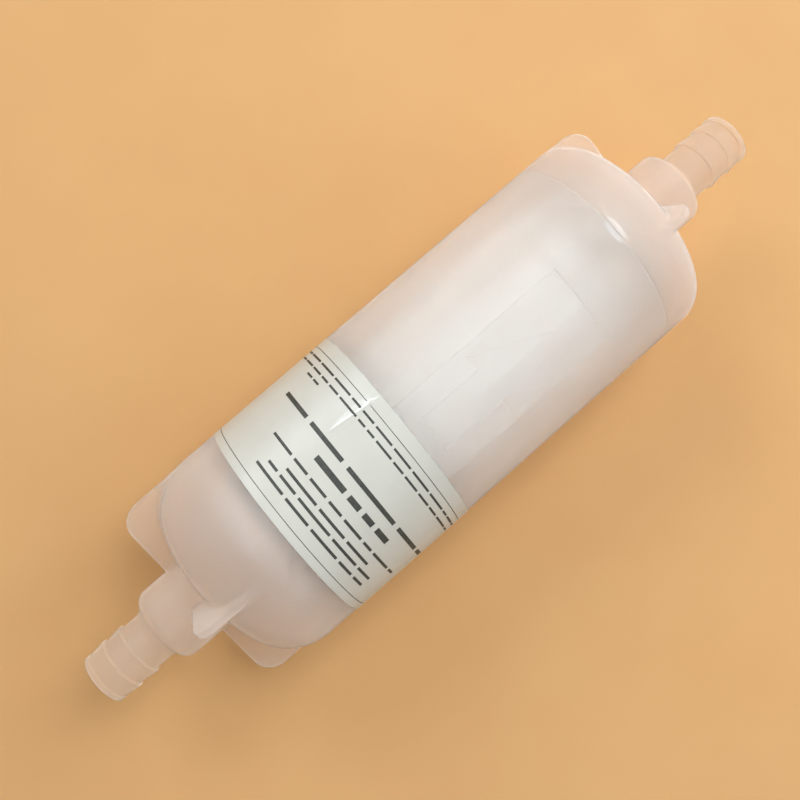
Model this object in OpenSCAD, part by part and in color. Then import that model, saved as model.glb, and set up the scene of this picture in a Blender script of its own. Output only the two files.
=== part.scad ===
// Capsule filter: a pleated element welded shut inside a moulded housing with a hose barb at each end.
// X runs along the flow, from the inlet to the outlet, with zero half way along.
// The capsule lies on its side, with the lowest line of its label at Z = 0.

/* [Housing] */
// Outside diameter of the body
body_d = 60; // [56:1:80]
// Wall thickness of both mouldings
wall = 2.4; // [2:0.1:3]
// Length of the cap's straight wall, from the weld to its dome
cap_l = 7.9; // [6:0.1:12]
// Radius of the crown of both domes
crown_r = 55; // [48:1:80]
// Radius of the knuckle between the bowl's wall and its crown
bowl_knuckle_r = 16; // [10:1:18]
// Radius of the knuckle between the cap's wall and its crown
cap_knuckle_r = 7; // [5:0.5:10]
// Height of the chamfer on each side of the weld
weld_chamfer = 0.35; // [0.1:0.05:0.6]
// Length of the cap's lip inside the bowl
lip_l = 5; // [3:0.5:7]
// Thickness of the cap's lip
lip_t = 1.3; // [1:0.1:1.8]

/* [Necks] */
// Outside diameter of both necks
neck_d = 21.5; // [19:0.5:25]
// Fillet between a neck and its dome
neck_fillet_r = 1.5; // [0.8:0.1:2.5]
// Length of the inlet neck beyond the crown
inlet_neck_l = 11.3; // [8:0.1:18]
// Length of the shoulder from the inlet neck to its tube
inlet_shoulder_l = 6; // [5:0.1:8]
// Length of the outlet neck beyond the crown
outlet_neck_l = 9.4; // [8:0.1:18]
// Length of the shoulder from the outlet neck to its tube
outlet_shoulder_l = 4; // [4:0.1:8]

/* [Hose barbs] */
// Diameter of the tubes between the barbs
tube_d = 14; // [13:0.1:15]
// Diameter of the barbs' crests
barb_d = 15.3; // [14.6:0.1:16]
// Bore of the tubes
bore_d = 9.5; // [8:0.1:10]
// Flat land on the crest of each barb
barb_land = 0.5; // [0.3:0.1:0.8]
// Plain stretch of the inlet tube before its first barb
inlet_plain_l = 4.7; // [3:0.1:8]
// Distance from the inlet's first barb to its second
inlet_pitch = 5.5; // [4:0.1:8]
// Distance from the inlet's second barb to its tip
inlet_tip_pitch = 5.2; // [4:0.1:8]
// Length of the inlet's tip
inlet_tip_l = 1.7; // [1.5:0.1:3]
// Diameter of the inlet's tip
inlet_tip_d = 14.6; // [14.2:0.1:15.2]
// Plain stretch of the outlet tube before its first barb
outlet_plain_l = 6.3; // [3:0.1:8]
// Distance from the outlet's first barb to its second
outlet_pitch = 6.2; // [4:0.1:8]
// Distance from the outlet's second barb to its tip
outlet_tip_pitch = 4.6; // [4:0.1:8]
// Length of the outlet's tip
outlet_tip_l = 1.9; // [1.5:0.1:3]
// Diameter of the outlet's tip
outlet_tip_d = 15.1; // [14.2:0.1:15.2]
// Rounding of the tips
tip_round_r = 1.3; // [0.8:0.1:1.5]

/* [Fins] */
// Thickness of a fin at its outer edge
fin_tip_t = 2.1; // [1.6:0.1:2.6]
// Thickness of a fin at the neck
fin_root_t = 2.9; // [2.6:0.1:3.6]
// How far the fins' outer edges stay inside the body's outside
fin_inset = 0.2; // [0.1:0.05:1]
// Rounding of the fins' outer corners
fin_corner_r = 6; // [3:0.5:9]
// How far the inlet fins reach past the crown
inlet_fin_reach = 3.1; // [0:0.1:6]
// How far the outlet fins stop short of the crown
outlet_fin_setback = 0.6; // [0:0.1:1.2]
// Turn of the first fin and of the arrow from the top
mark_turn = 15.6; // [0:0.1:45]

/* [Flow arrow] */
// Distance of the arrow's point from the weld
arrow_gap = 27.7; // [24:0.1:40]
// Length of the arrowhead
arrow_head_l = 21.1; // [14:0.1:26]
// Width of the arrowhead
arrow_head_w = 19; // [12:0.5:24]
// Length of the arrow's shaft
arrow_shaft_l = 18.2; // [10:0.1:24]
// Width of the arrow's shaft
arrow_shaft_w = 10.6; // [6:0.1:11]
// Depth of the arrow below the surface
arrow_depth = 0.35; // [0.2:0.05:0.8]
// Margin of the sunk field round the arrow, along the body
field_margin = 9.8; // [4:0.1:12]
// Width of the sunk field round the arrow
field_w = 22.8; // [20:0.1:30]
// Depth of the field, where a mould insert formed the wall
field_depth = 0.15; // [0.05:0.05:0.2]

/* [Label] */
// Width of the label along the body
label_w = 39; // [20:1:55]
// Distance of the label from the bowl's dome
label_offset = 10.4; // [4:0.1:20]
// Thickness of the label
label_t = 0.12; // [0.08:0.01:0.2]
// Thickness of the adhesive under the label
adhesive_t = 0.02; // [0.01:0.01:0.05]
// Angle by which the label is stuck on crooked
label_tilt = 1.7; // [0:0.1:3]
// Angle of the body that the label's overlap covers
label_overlap = 16; // [4:1:40]
// Turn of the overlap from the top
label_overlap_turn = 92; // [60:1:120]

/* [Element] */
// Length of the element between the outer faces of its end caps
element_l = 127; // [110:1:180]
// Distance of the element from the line where the inlet dome starts
inlet_gap = 0.4; // [0.2:0.1:10]
// Gap between the housing and the element's cage
annulus = 3.6; // [3.2:0.1:5]
// Thickness of the cage
cage_t = 1.3; // [1:0.1:2]
// Width of a window in the cage, measured along the element
cage_window_l = 7.5; // [5:0.5:12]
// Width of the hoops between the cage's windows
cage_hoop_w = 2.2; // [1.5:0.1:4]
// Width of the ribs between the cage's windows
cage_rib_w = 3; // [2:0.1:5]
// Windows round the cage
cage_columns = 12; // [8:1:16]
// Outside diameter of the core
core_d = 19; // [17:0.5:21]
// Thickness of the core
core_t = 1.6; // [1.2:0.1:2]
// Length of a slot in the core
core_slot_l = 5.5; // [4:0.5:9]
// Width of the hoops between the core's slots
core_hoop_w = 2.6; // [2:0.1:4]
// Width of the ribs between the core's slots
core_rib_w = 4; // [3:0.1:5]
// Slots round the core
core_columns = 6; // [4:1:8]
// Thickness of the layer on the medium's upstream side
upstream_t = 0.2; // [0.15:0.01:0.3]
// Thickness of the filter medium
medium_t = 0.3; // [0.2:0.01:0.4]
// Thickness of the layer on the medium's downstream side
downstream_t = 0.2; // [0.15:0.01:0.3]
// Open space inside a fold
fold_gap = 0.15; // [0.1:0.01:0.3]

/* [End caps of the element] */
// Thickness of the end caps
endcap_t = 2.5; // [2:0.1:4]
// Height of the end caps' rim round the cage
rim_h = 5; // [3:0.5:8]
// Thickness of the end caps' rim
rim_t = 1; // [0.8:0.1:1.4]
// Rounding of the end caps' outer edge
rim_round_r = 1.2; // [0.5:0.1:1.8]
// Height of the closed end cap's plug inside the core
plug_h = 4; // [2:0.5:8]
// Length of the open end cap's spigot
spigot_l = 9.5; // [8:0.5:12]
// Wall of the spigot
spigot_t = 2.1; // [1.6:0.1:2.4]
// Wall of the socket that holds the spigot
socket_t = 2; // [1.5:0.1:3]
// Depth of the socket
socket_l = 6.5; // [4:0.5:7]
// Radial clearance where two mouldings slip together before they are welded
slip = 0.05; // [0.03:0.01:0.1]
// Radial clearance of the pleats to the cage and to the core
pleat_slip = 0.15; // [0.1:0.05:0.3]

/* [Hidden] */
$fn = 128;
// Overrun of every cut past the surface that it opens
over = 1;

body_r = body_d / 2;
inner_r = body_r - wall;
neck_r = neck_d / 2;
neck_bore_r = neck_r - wall;
tube_r = tube_d / 2;
barb_r = barb_d / 2;
bore_r = bore_d / 2;
fin_r = body_r - fin_inset;

// Height of a dome over its straight wall
function dome_h(r, knuckle, crown) = crown - sqrt(pow(crown - knuckle, 2) - pow(r - knuckle, 2));
bowl_dome_h = dome_h(body_r, bowl_knuckle_r, crown_r);
cap_dome_h = dome_h(body_r, cap_knuckle_r, crown_r);

// Lengths of the tubes
inlet_tube_l = inlet_plain_l + inlet_pitch + inlet_tip_pitch + inlet_tip_l;
outlet_tube_l = outlet_plain_l + outlet_pitch + outlet_tip_pitch + outlet_tip_l;

// Radii of the element, from the outside in
cage_r = inner_r - annulus;
rim_r = cage_r + slip + rim_t;
core_r = core_d / 2;
core_bore_r = core_r - core_t;
pack_t = upstream_t + medium_t + downstream_t;
fold_r = cage_r - cage_t - pleat_slip - pack_t / 2;
valley_r = core_r + pleat_slip + pack_t / 2;
pleats = floor(PI * valley_r / (pack_t + fold_gap));
// Half widths of a fold at the cage and of a valley at the core, on the pack's middle
fold_half_w = (pack_t + fold_gap) / 2;
valley_half_w = PI * valley_r / pleats / 2;

// The socket under the cap's crown, with its floor above the cap's straight wall
spigot_r = core_bore_r + spigot_t;
socket_r = spigot_r + slip + socket_t;
socket_floor_h = dome_h(inner_r, cap_knuckle_r - wall, crown_r - wall)
                 - (crown_r - wall - sqrt(pow(crown_r - wall, 2) - pow(socket_r, 2)));
// The bowl's straight wall is as long as the element needs
bowl_l = element_l + inlet_gap + spigot_l - socket_floor_h - cap_l;

// Places along X
inlet_l = inlet_tube_l + inlet_shoulder_l + inlet_neck_l + bowl_dome_h;
outlet_l = outlet_tube_l + outlet_shoulder_l + outlet_neck_l + cap_dome_h;
total_l = inlet_l + bowl_l + cap_l + outlet_l;
bowl_x = inlet_l - total_l / 2;
weld_x = bowl_x + bowl_l;
cap_x = weld_x + cap_l;
closed_face_x = bowl_x + inlet_gap;
open_face_x = closed_face_x + element_l;
label_r = body_r + adhesive_t;
axis_z = label_r + label_t;
pack_l = element_l - 2 * endcap_t;
pack_x = closed_face_x + endcap_t;

// Section of a dome over a straight wall of radius r that ends at Y = 0
module dome_section(r, knuckle, crown) {
    centre_h = crown - dome_h(r, knuckle, crown);
    foot_r = r - knuckle;
    intersection() {
        translate([0, -centre_h]) circle(r = crown);
        polygon([[0, 0], [0, r], [foot_r * (centre_h + r) / centre_h, r], [foot_r, 0]]);
    }
    translate([r - knuckle, 0]) intersection() {
        circle(r = knuckle);
        square(knuckle);
    }
    square([r - knuckle, knuckle / 2]);
}

// Filling between the neck and the crown, hollowed by the fillet's arc
module neck_fillet_section(dome_top) {
    crown_y = dome_top - crown_r;
    fillet_x = neck_r + neck_fillet_r;
    fillet_y = crown_y + sqrt(pow(crown_r + neck_fillet_r, 2) - pow(fillet_x, 2));
    foot = [0, crown_y] + crown_r / (crown_r + neck_fillet_r) * [fillet_x, fillet_y - crown_y];
    difference() {
        polygon([[neck_r, fillet_y], [fillet_x, fillet_y], foot, [neck_r, foot[1] - wall / 2],
                 [neck_bore_r, foot[1] - wall / 2], [neck_bore_r, fillet_y]]);
        translate([fillet_x, fillet_y]) circle(r = neck_fillet_r);
    }
}

// Shoulder that falls from the neck to the tube over the length len in two equal arcs
module shoulder_section(len) {
    drop = neck_r - tube_r;
    arc_r = (pow(len, 2) + pow(drop, 2)) / (4 * drop);
    difference() {
        square([(neck_r + tube_r) / 2, len]);
        translate([tube_r + arc_r, len]) circle(r = arc_r);
    }
    intersection() {
        translate([neck_r - arc_r, 0]) circle(r = arc_r);
        square([neck_r, len / 2]);
    }
}

// One barb: its step faces the neck, and its ramp falls to the tube over the length ramp_l
module barb_section(ramp_l) {
    polygon([[bore_r, 0], [barb_r, 0], [barb_r, barb_land], [tube_r, ramp_l], [bore_r, ramp_l]]);
}

// Tube with two barbs and a tip, from the shoulder at Y = 0 to its mouth
module tube_section(plain_l, pitch, tip_pitch, tip_l, tip_d) {
    mouth_y = plain_l + pitch + tip_pitch + tip_l;
    tip_r = tip_d / 2;
    square([tube_r, mouth_y - tip_round_r]);
    translate([0, plain_l]) barb_section(pitch);
    translate([0, plain_l + pitch]) barb_section(tip_pitch);
    square([tip_r - tip_round_r, mouth_y]);
    translate([0, mouth_y - tip_l]) square([tip_r, tip_l - tip_round_r]);
    translate([tip_r - tip_round_r, mouth_y - tip_round_r]) circle(r = tip_round_r);
}

// Outside of one housing end, with its straight wall below Y = 0 and its tube, the child, on top
module end_section(straight_l, knuckle, neck_l, shoulder_l) {
    dome_top = dome_h(body_r, knuckle, crown_r);
    polygon([[0, -straight_l], [body_r - weld_chamfer, -straight_l], [body_r, weld_chamfer - straight_l],
             [body_r, 0], [0, 0]]);
    dome_section(body_r, knuckle, crown_r);
    neck_fillet_section(dome_top);
    square([neck_r, dome_top + neck_l]);
    translate([0, dome_top + neck_l]) shoulder_section(shoulder_l);
    translate([0, dome_top + neck_l + shoulder_l]) children();
}

// Inside of one housing end: chamber, neck and the bore of the tube
module cavity_section(straight_l, knuckle, neck_l, shoulder_l, tube_l) {
    dome_top = dome_h(body_r, knuckle, crown_r);
    neck_top = dome_top + neck_l;
    translate([0, -straight_l - over]) square([inner_r, straight_l + over]);
    dome_section(inner_r, knuckle - wall, crown_r - wall);
    square([neck_bore_r, neck_top]);
    polygon([[0, neck_top], [neck_bore_r, neck_top], [bore_r, neck_top + shoulder_l],
             [bore_r, neck_top + shoulder_l + tube_l + over], [0, neck_top + shoulder_l + tube_l + over]]);
}

// Turns a section round the capsule's axis and points it to the outlet
module turned_to_outlet() {
    rotate([0, 90, 0]) rotate_extrude() children();
}

// Turns a section round the capsule's axis and points it to the inlet
module turned_to_inlet() {
    rotate([0, -90, 0]) rotate_extrude() children();
}

// Four fins as two crossed plates on the axis, from the end at X = 0 back along the body
module fins(length) {
    for (a = [0, 90])
        rotate([mark_turn + a, 0, 0]) intersection() {
            rotate([90, 0, 0]) linear_extrude(2 * fin_root_t, center = true) fin_outline(length);
            rotate([90, 0, 90]) linear_extrude(length) polygon([
                [fin_tip_t / 2, fin_r], [fin_root_t / 2, neck_r], [fin_root_t / 2, -neck_r],
                [fin_tip_t / 2, -fin_r], [-fin_tip_t / 2, -fin_r], [-fin_root_t / 2, -neck_r],
                [-fin_root_t / 2, neck_r], [-fin_tip_t / 2, fin_r]]);
        }
}

// Side view of the plate that makes two fins, with two rounded corners at X = 0
module fin_outline(length) {
    translate([0, fin_corner_r - fin_r]) square([length, 2 * (fin_r - fin_corner_r)]);
    translate([fin_corner_r, -fin_r]) square([length - fin_corner_r, 2 * fin_r]);
    for (side = [-1, 1])
        translate([fin_corner_r, side * (fin_r - fin_corner_r)]) circle(r = fin_corner_r);
}

// Everything of a prism over the body that lies less than depth below its surface
module skin_cut(depth) {
    intersection() {
        linear_extrude(body_r + over) children();
        rotate([0, 90, 0]) translate([0, 0, -total_l / 2]) difference() {
            cylinder(r = body_r + over, h = total_l);
            cylinder(r = body_r - depth, h = total_l);
        }
    }
}

// Outline of the flow arrow, with its point at X = 0
module arrow_outline() {
    polygon([[0, 0], [-arrow_head_l, arrow_head_w / 2], [-arrow_head_l, arrow_shaft_w / 2],
             [-arrow_head_l - arrow_shaft_l, arrow_shaft_w / 2],
             [-arrow_head_l - arrow_shaft_l, -arrow_shaft_w / 2],
             [-arrow_head_l, -arrow_shaft_w / 2], [-arrow_head_l, -arrow_head_w / 2]]);
}

// Outline of the sunk field that the arrow's mould insert leaves round it
module field_outline() {
    field_l = arrow_head_l + arrow_shaft_l + 2 * field_margin;
    translate([field_margin - field_l, -field_w / 2]) square([field_l, field_w]);
}

// Bowl: body, inlet dome, fins, neck and barb in one moulding, with the flow arrow sunk in its wall
module housing_bowl() {
    fin_length = bowl_dome_h + inlet_fin_reach;
    color([0.90, 0.88, 0.85, 0.6]) translate([0, 0, axis_z]) difference() {
        union() {
            translate([bowl_x, 0, 0]) turned_to_inlet()
                end_section(bowl_l, bowl_knuckle_r, inlet_neck_l, inlet_shoulder_l)
                    tube_section(inlet_plain_l, inlet_pitch, inlet_tip_pitch, inlet_tip_l, inlet_tip_d);
            translate([bowl_x - fin_length, 0, 0]) fins(fin_length);
        }
        translate([bowl_x, 0, 0]) turned_to_inlet()
            cavity_section(bowl_l, bowl_knuckle_r, inlet_neck_l, inlet_shoulder_l, inlet_tube_l);
        translate([weld_x - arrow_gap, 0, 0]) rotate([mark_turn, 0, 0]) {
            skin_cut(arrow_depth) arrow_outline();
            skin_cut(field_depth) field_outline();
        }
    }
}

// Lip that slips into the bowl, below the weld at Y = 0
module lip_section() {
    lip_r = inner_r - slip;
    translate([lip_r - lip_t, -lip_l]) square([lip_t, lip_l]);
    polygon([[lip_r - lip_t, 0], [inner_r + wall / 2, 0], [inner_r + wall / 2, 2 * lip_t],
             [inner_r, 2 * lip_t], [lip_r - lip_t, lip_t]]);
}

// Socket that hangs from the crown, with its floor at Y = socket_floor_h
module socket_section() {
    difference() {
        intersection() {
            translate([0, socket_floor_h - socket_l]) square([socket_r, socket_l + cap_dome_h]);
            union() {
                dome_section(body_r, cap_knuckle_r, crown_r);
                translate([0, -cap_l]) square([body_r, cap_l]);
            }
        }
        translate([0, socket_floor_h - socket_l - over]) square([spigot_r + slip, socket_l + over]);
        square([core_bore_r, 2 * cap_dome_h]);
    }
}

// Cap: outlet dome, fins, neck and barb in one moulding, with the lip and the element's socket inside
module housing_cap() {
    fin_length = cap_dome_h - outlet_fin_setback;
    color([0.90, 0.88, 0.85, 0.6]) translate([0, 0, axis_z]) union() {
        difference() {
            union() {
                translate([cap_x, 0, 0]) turned_to_outlet()
                    end_section(cap_l, cap_knuckle_r, outlet_neck_l, outlet_shoulder_l) tube_section(
                        outlet_plain_l, outlet_pitch, outlet_tip_pitch, outlet_tip_l, outlet_tip_d);
                translate([cap_x + fin_length, 0, 0]) mirror([1, 0, 0]) fins(fin_length);
            }
            translate([cap_x, 0, 0]) turned_to_outlet()
                cavity_section(cap_l, cap_knuckle_r, outlet_neck_l, outlet_shoulder_l, outlet_tube_l);
        }
        translate([weld_x, 0, 0]) turned_to_outlet() lip_section();
        translate([cap_x, 0, 0]) turned_to_outlet() socket_section();
    }
}

// Ring of the label across the body, doubled where its end overlaps its start
module label_ring() {
    reach = 2 * body_r;
    half_a = label_overlap / 2;
    difference() {
        union() {
            circle(r = label_r + label_t);
            intersection() {
                circle(r = label_r + 2 * label_t);
                polygon([[0, 0], reach * [-cos(half_a), -sin(half_a)], reach * [-cos(half_a), sin(half_a)]]);
            }
        }
        circle(r = label_r);
    }
}

// Label: one turn of film round the body and the short overlap of its end
module label() {
    label_x = bowl_x + label_offset + label_w / 2;
    color([0.93, 0.93, 0.90]) translate([label_x, 0, axis_z]) intersection() {
        rotate([0, 0, -label_tilt]) cube([label_w, 4 * body_r, 4 * body_r], center = true);
        rotate([label_overlap_turn, 0, 0]) rotate([0, 90, 0]) linear_extrude(2 * label_w, center = true)
            label_ring();
    }
}

// Plate and rim that both end caps share, with the plate's outer face at Y = 0 and the rim above it
module endcap_section() {
    square([rim_r - rim_round_r, endcap_t]);
    translate([0, rim_round_r]) square([rim_r, endcap_t - rim_round_r]);
    translate([rim_r - rim_round_r, rim_round_r]) intersection() {
        circle(r = rim_round_r);
        translate([0, -rim_round_r]) square(rim_round_r);
    }
    translate([rim_r - rim_t, rim_round_r]) square([rim_t, endcap_t + rim_h - rim_round_r]);
}

// Closed end cap: a plate over the end of the pleats, with a plug inside the core
module closed_end_cap() {
    color([0.95, 0.95, 0.94]) translate([closed_face_x, 0, axis_z]) turned_to_outlet() {
        endcap_section();
        square([core_bore_r - slip, endcap_t + plug_h]);
    }
}

// Open end cap: the same plate with the clean side's passage, and the spigot that is welded in the socket
module open_end_cap() {
    color([0.95, 0.95, 0.94]) translate([open_face_x, 0, axis_z]) turned_to_inlet() {
        difference() {
            endcap_section();
            translate([0, -over]) square([core_bore_r, endcap_t + 2 * over]);
        }
        translate([core_bore_r, -spigot_l]) square([spigot_t, spigot_l + endcap_t / 2]);
    }
}

// Tube with rows of windows between hoops and ribs, standing on Z = 0
module windowed_tube(r, t, length, window_l, hoop_w, columns, rib_w) {
    rows = floor((length - hoop_w) / (window_l + hoop_w));
    step = (length - hoop_w) / rows;
    rib_a = 2 * asin(rib_w / 2 / r);
    difference() {
        cylinder(r = r, h = length);
        translate([0, 0, -over]) cylinder(r = r - t, h = length + 2 * over);
        for (row = [0 : rows - 1])
            translate([0, 0, hoop_w + row * step]) linear_extrude(step - hoop_w)
                for (i = [0 : columns - 1])
                    rotate([0, 0, 360 * i / columns]) window_wedge(r, t, 360 / columns - rib_a);
    }
}

// Plan of one window, open_a wide
module window_wedge(r, t, open_a) {
    inside = r - t - over;
    outside = (r + over) / cos(open_a / 2);
    polygon([inside * [cos(open_a / 2), -sin(open_a / 2)], outside * [cos(open_a / 2), -sin(open_a / 2)],
             outside * [cos(open_a / 2), sin(open_a / 2)], inside * [cos(open_a / 2), sin(open_a / 2)]]);
}

// Cage that holds the pleats from outside
module outer_cage() {
    color([0.95, 0.95, 0.94]) translate([pack_x, 0, axis_z]) rotate([mark_turn, 0, 0]) rotate([0, 90, 0])
        windowed_tube(cage_r, cage_t, pack_l, cage_window_l, cage_hoop_w, cage_columns, cage_rib_w);
}

// Core that carries the clean side's flow to the outlet
module inner_core() {
    color([0.95, 0.95, 0.94]) translate([pack_x, 0, axis_z]) rotate([mark_turn, 0, 0]) rotate([0, 90, 0])
        windowed_tube(core_r, core_t, pack_l, core_slot_l, core_hoop_w, core_columns, core_rib_w);
}

// Corner of a fold on radius r, at the arc length w from the angle a
function corner(r, a, w) = r * [cos(a + w / r * 180 / PI), sin(a + w / r * 180 / PI)];

// Star of folds and valleys, shifted outwards from the middle of the pack by s
function pleat_line(s) = [for (i = [0 : pleats - 1]) each [
    corner(fold_r + s, 360 * i / pleats, -fold_half_w - s),
    corner(fold_r + s, 360 * i / pleats, fold_half_w + s),
    corner(valley_r + s, 360 * (i + 0.5) / pleats, s - valley_half_w),
    corner(valley_r + s, 360 * (i + 0.5) / pleats, valley_half_w - s)]];

// One folded layer between the shifts from_s and to_s, standing on X = pack_x
module pleated_layer(from_s, to_s) {
    translate([pack_x, 0, axis_z]) rotate([mark_turn, 0, 0]) rotate([0, 90, 0]) linear_extrude(pack_l)
        difference() {
            polygon(pleat_line(to_s));
            polygon(pleat_line(from_s));
        }
}

// Coarse layer on the dirty side of the medium
module upstream_support() {
    color([0.97, 0.97, 0.96]) pleated_layer(pack_t / 2 - upstream_t, pack_t / 2);
}

// Filter medium between its two support layers
module filter_medium() {
    color([0.99, 0.99, 0.98]) pleated_layer(downstream_t - pack_t / 2, pack_t / 2 - upstream_t);
}

// Coarse layer on the clean side of the medium
module downstream_support() {
    color([0.97, 0.97, 0.96]) pleated_layer(-pack_t / 2, downstream_t - pack_t / 2);
}

housing_bowl();
housing_cap();
label();
closed_end_cap();
open_end_cap();
outer_cage();
upstream_support();
filter_medium();
downstream_support();
inner_core();
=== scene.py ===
"""Looks of the capsule filter: milky housing, label and print, the element inside, a floor and light."""

import math
import random

import bmesh
import bpy
import numpy as np
from mathutils import Matrix, Vector


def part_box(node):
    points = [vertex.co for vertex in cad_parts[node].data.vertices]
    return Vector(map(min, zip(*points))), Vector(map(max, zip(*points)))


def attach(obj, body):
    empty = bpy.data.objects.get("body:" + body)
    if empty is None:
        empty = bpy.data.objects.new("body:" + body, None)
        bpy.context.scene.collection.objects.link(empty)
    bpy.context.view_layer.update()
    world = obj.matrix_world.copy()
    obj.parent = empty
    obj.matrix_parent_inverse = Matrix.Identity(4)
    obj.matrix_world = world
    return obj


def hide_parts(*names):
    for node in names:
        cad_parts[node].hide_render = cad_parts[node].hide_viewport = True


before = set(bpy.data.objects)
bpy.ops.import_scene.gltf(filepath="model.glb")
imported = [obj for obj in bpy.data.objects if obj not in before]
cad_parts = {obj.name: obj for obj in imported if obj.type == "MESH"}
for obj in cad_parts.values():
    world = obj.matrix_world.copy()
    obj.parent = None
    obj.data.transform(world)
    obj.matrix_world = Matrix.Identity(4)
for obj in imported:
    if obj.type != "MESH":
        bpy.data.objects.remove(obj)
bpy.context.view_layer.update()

# Sizes in millimetres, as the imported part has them. The flow runs along X, from the inlet to the outlet,
# and each moulding stops WELD_GAP short of the weld's middle
MM = 0.001
AXIS_Z = 30.14
WELD_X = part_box("housing_bowl")[1].x / MM
WELD_GAP = 0.01
BOWL_X, CAP_X = -60.05, 67.78
BODY_R, WALL, CROWN_R = 30.0, 2.4, 55.0
INNER_R = BODY_R - WALL
NECK_R, NECK_FILLET = 10.75, 1.5
NECK_BORE_R = NECK_R - WALL
TUBE_R, BARB_R, BARB_LAND, BORE_R = 7.0, 7.65, 0.5, 4.75
MOUTH_R, TIP_ROUND = BORE_R + 0.9, 1.3
MARK_TURN = math.radians(15.6)
FIN_R, FIN_TIP_HALF, FIN_ROOT_HALF, FIN_CORNER = 29.85, 1.05, 1.45, 6.0

# Both ends: the dome's knuckle, the lengths of neck and shoulder, and the hose tube as
# (plain length, pitch, pitch before the tip, tip length, tip radius)
INLET = {"knuckle": 16, "neck": 11.3, "shoulder": 6.0, "tube": (4.7, 5.5, 5.2, 1.7, 7.3)}
OUTLET = {"knuckle": 7, "neck": 9.4, "shoulder": 4.0, "tube": (6.3, 6.2, 4.6, 1.9, 7.55)}

# How far past the dome's top the fins end, and the finned skin gives way to plain rings
INLET_FIN_END, INLET_SKIN_END = 3.1, 6.5
OUTLET_FIN_END, OUTLET_SKIN_END = -0.6, 4

# The cap's weld lip and the socket for the element's spigot
LIP_L, LIP_INNER_R, LIP_OUTER_R, LIP_RAMP = 5, 26.25, 27.55, (2.6, 1.3)
SOCKET_FLOOR, SOCKET_L, SOCKET_R, SOCKET_OUTER_R, SOCKET_BORE_R = 9.07, 6.5, 10.05, 12.05, 7.9
SOCKET_WEB = 2.9

# What moulding softens: fillets at the fins' feet, edges of fins and barbs
FIN_FILLET, FIN_EDGE, BARB_EDGE = 1.1, 0.5, 0.28

# The wall's edge at the weld, which sinks a little: distance from the weld, radius, rounding
WELD_EDGE = [
    (0, BODY_R - 0.1, 0), (0.12, BODY_R - 0.07, 0), (0.3, BODY_R, 0.1),
    *((along, BODY_R, 0) for along in (0.6, 0.9, 1.2, 1.5, 1.8)),
]

# Melt pressed out of the weld: a bead at the edge, and a smear at the top of the body, in mm and degrees
BEAD_HEIGHT, BEAD_HALF, BEAD_TOP_HEIGHT = 0.08, 0.1, 0.1
SMEAR_HEIGHT, SMEAR_HALF, SMEAR_END = 0.2, 0.75, 1.7
SMEAR_TURN, SMEAR_SPREAD = -1, 7

# The housing's skin: columns round it, the step of its finned net, and how far the net starts before a dome
COLUMNS, NET_STEP, SKIN_START = 360, 0.5, -1.25


def linear(hex_colour):
    """A colour written as sRGB hex, as the linear values that shaders take."""
    parts = [int(hex_colour[i : i + 2], 16) / 255 for i in (1, 3, 5)]
    return [c / 12.92 if c <= 0.04045 else ((c + 0.055) / 1.055) ** 2.4 for c in parts] + [1.0]


def add(tree, kind, links=None, **settings):
    """One node of that kind with its settings; links are {input: socket or value}."""
    node = tree.nodes.new(kind)
    for name, value in settings.items():
        setattr(node, name, value)
    for key, value in (links or {}).items():
        if isinstance(value, bpy.types.NodeSocket):
            tree.links.new(value, node.inputs[key])
        else:
            node.inputs[key].default_value = value
    return node


def put_in_scene(name, data):
    """A new object of that name with that mesh, lamp or camera."""
    holder = bpy.data.objects.new(name, data)
    bpy.context.scene.collection.objects.link(holder)
    return holder


# The photograph's camera: focal length, sensor and place in mm, and its directions
LENS, SENSOR = 41.85, 36.0
CAMERA_PLACE = (-25.35, 0, 282.84)
CAMERA_RIGHT = (0.75303, -0.65626, 0.04806)
CAMERA_UP = (0.65337, 0.75432, 0.06485)
CAMERA_BACK = (-0.0788, -0.0174, 0.9967)


def place_camera():
    """Camera where the photograph was taken from."""
    lens = bpy.data.cameras.new("camera")
    lens.lens, lens.sensor_width = LENS, SENSOR
    lens.clip_start, lens.clip_end = 0.01, 20.0
    camera = put_in_scene("camera", lens)
    place = Matrix.Translation(Vector(CAMERA_PLACE) * MM)
    turn = Matrix((CAMERA_RIGHT, CAMERA_UP, CAMERA_BACK)).transposed()
    camera.matrix_world = place @ turn.to_4x4()
    bpy.context.scene.camera = camera


# Sections of the housing: points (along, radius), where along grows from the foot of a dome to its tube


def rounded(points, steps=4):
    """A path through points (along, radius, rounding) whose corners are rounded."""
    path = []
    for i, (along, radius, rounding) in enumerate(points):
        here = np.array((along, radius))
        if rounding == 0 or i in (0, len(points) - 1):
            path.append(tuple(here))
            continue
        before, after = np.array(points[i - 1][:2]) - here, np.array(points[i + 1][:2]) - here
        reach_a = min(rounding, 0.49 * np.linalg.norm(before))
        reach_b = min(rounding, 0.49 * np.linalg.norm(after))
        start = here + before / np.linalg.norm(before) * reach_a
        end = here + after / np.linalg.norm(after) * reach_b
        for t in np.linspace(0, 1, steps + 1):
            path.append(tuple((1 - t) ** 2 * start + 2 * t * (1 - t) * here + t * t * end))
    return path


def dome_height(radius, knuckle, crown):
    """How far a dome of that crown radius and knuckle rises over its straight wall."""
    return crown - math.sqrt((crown - knuckle) ** 2 - (radius - knuckle) ** 2)


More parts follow.
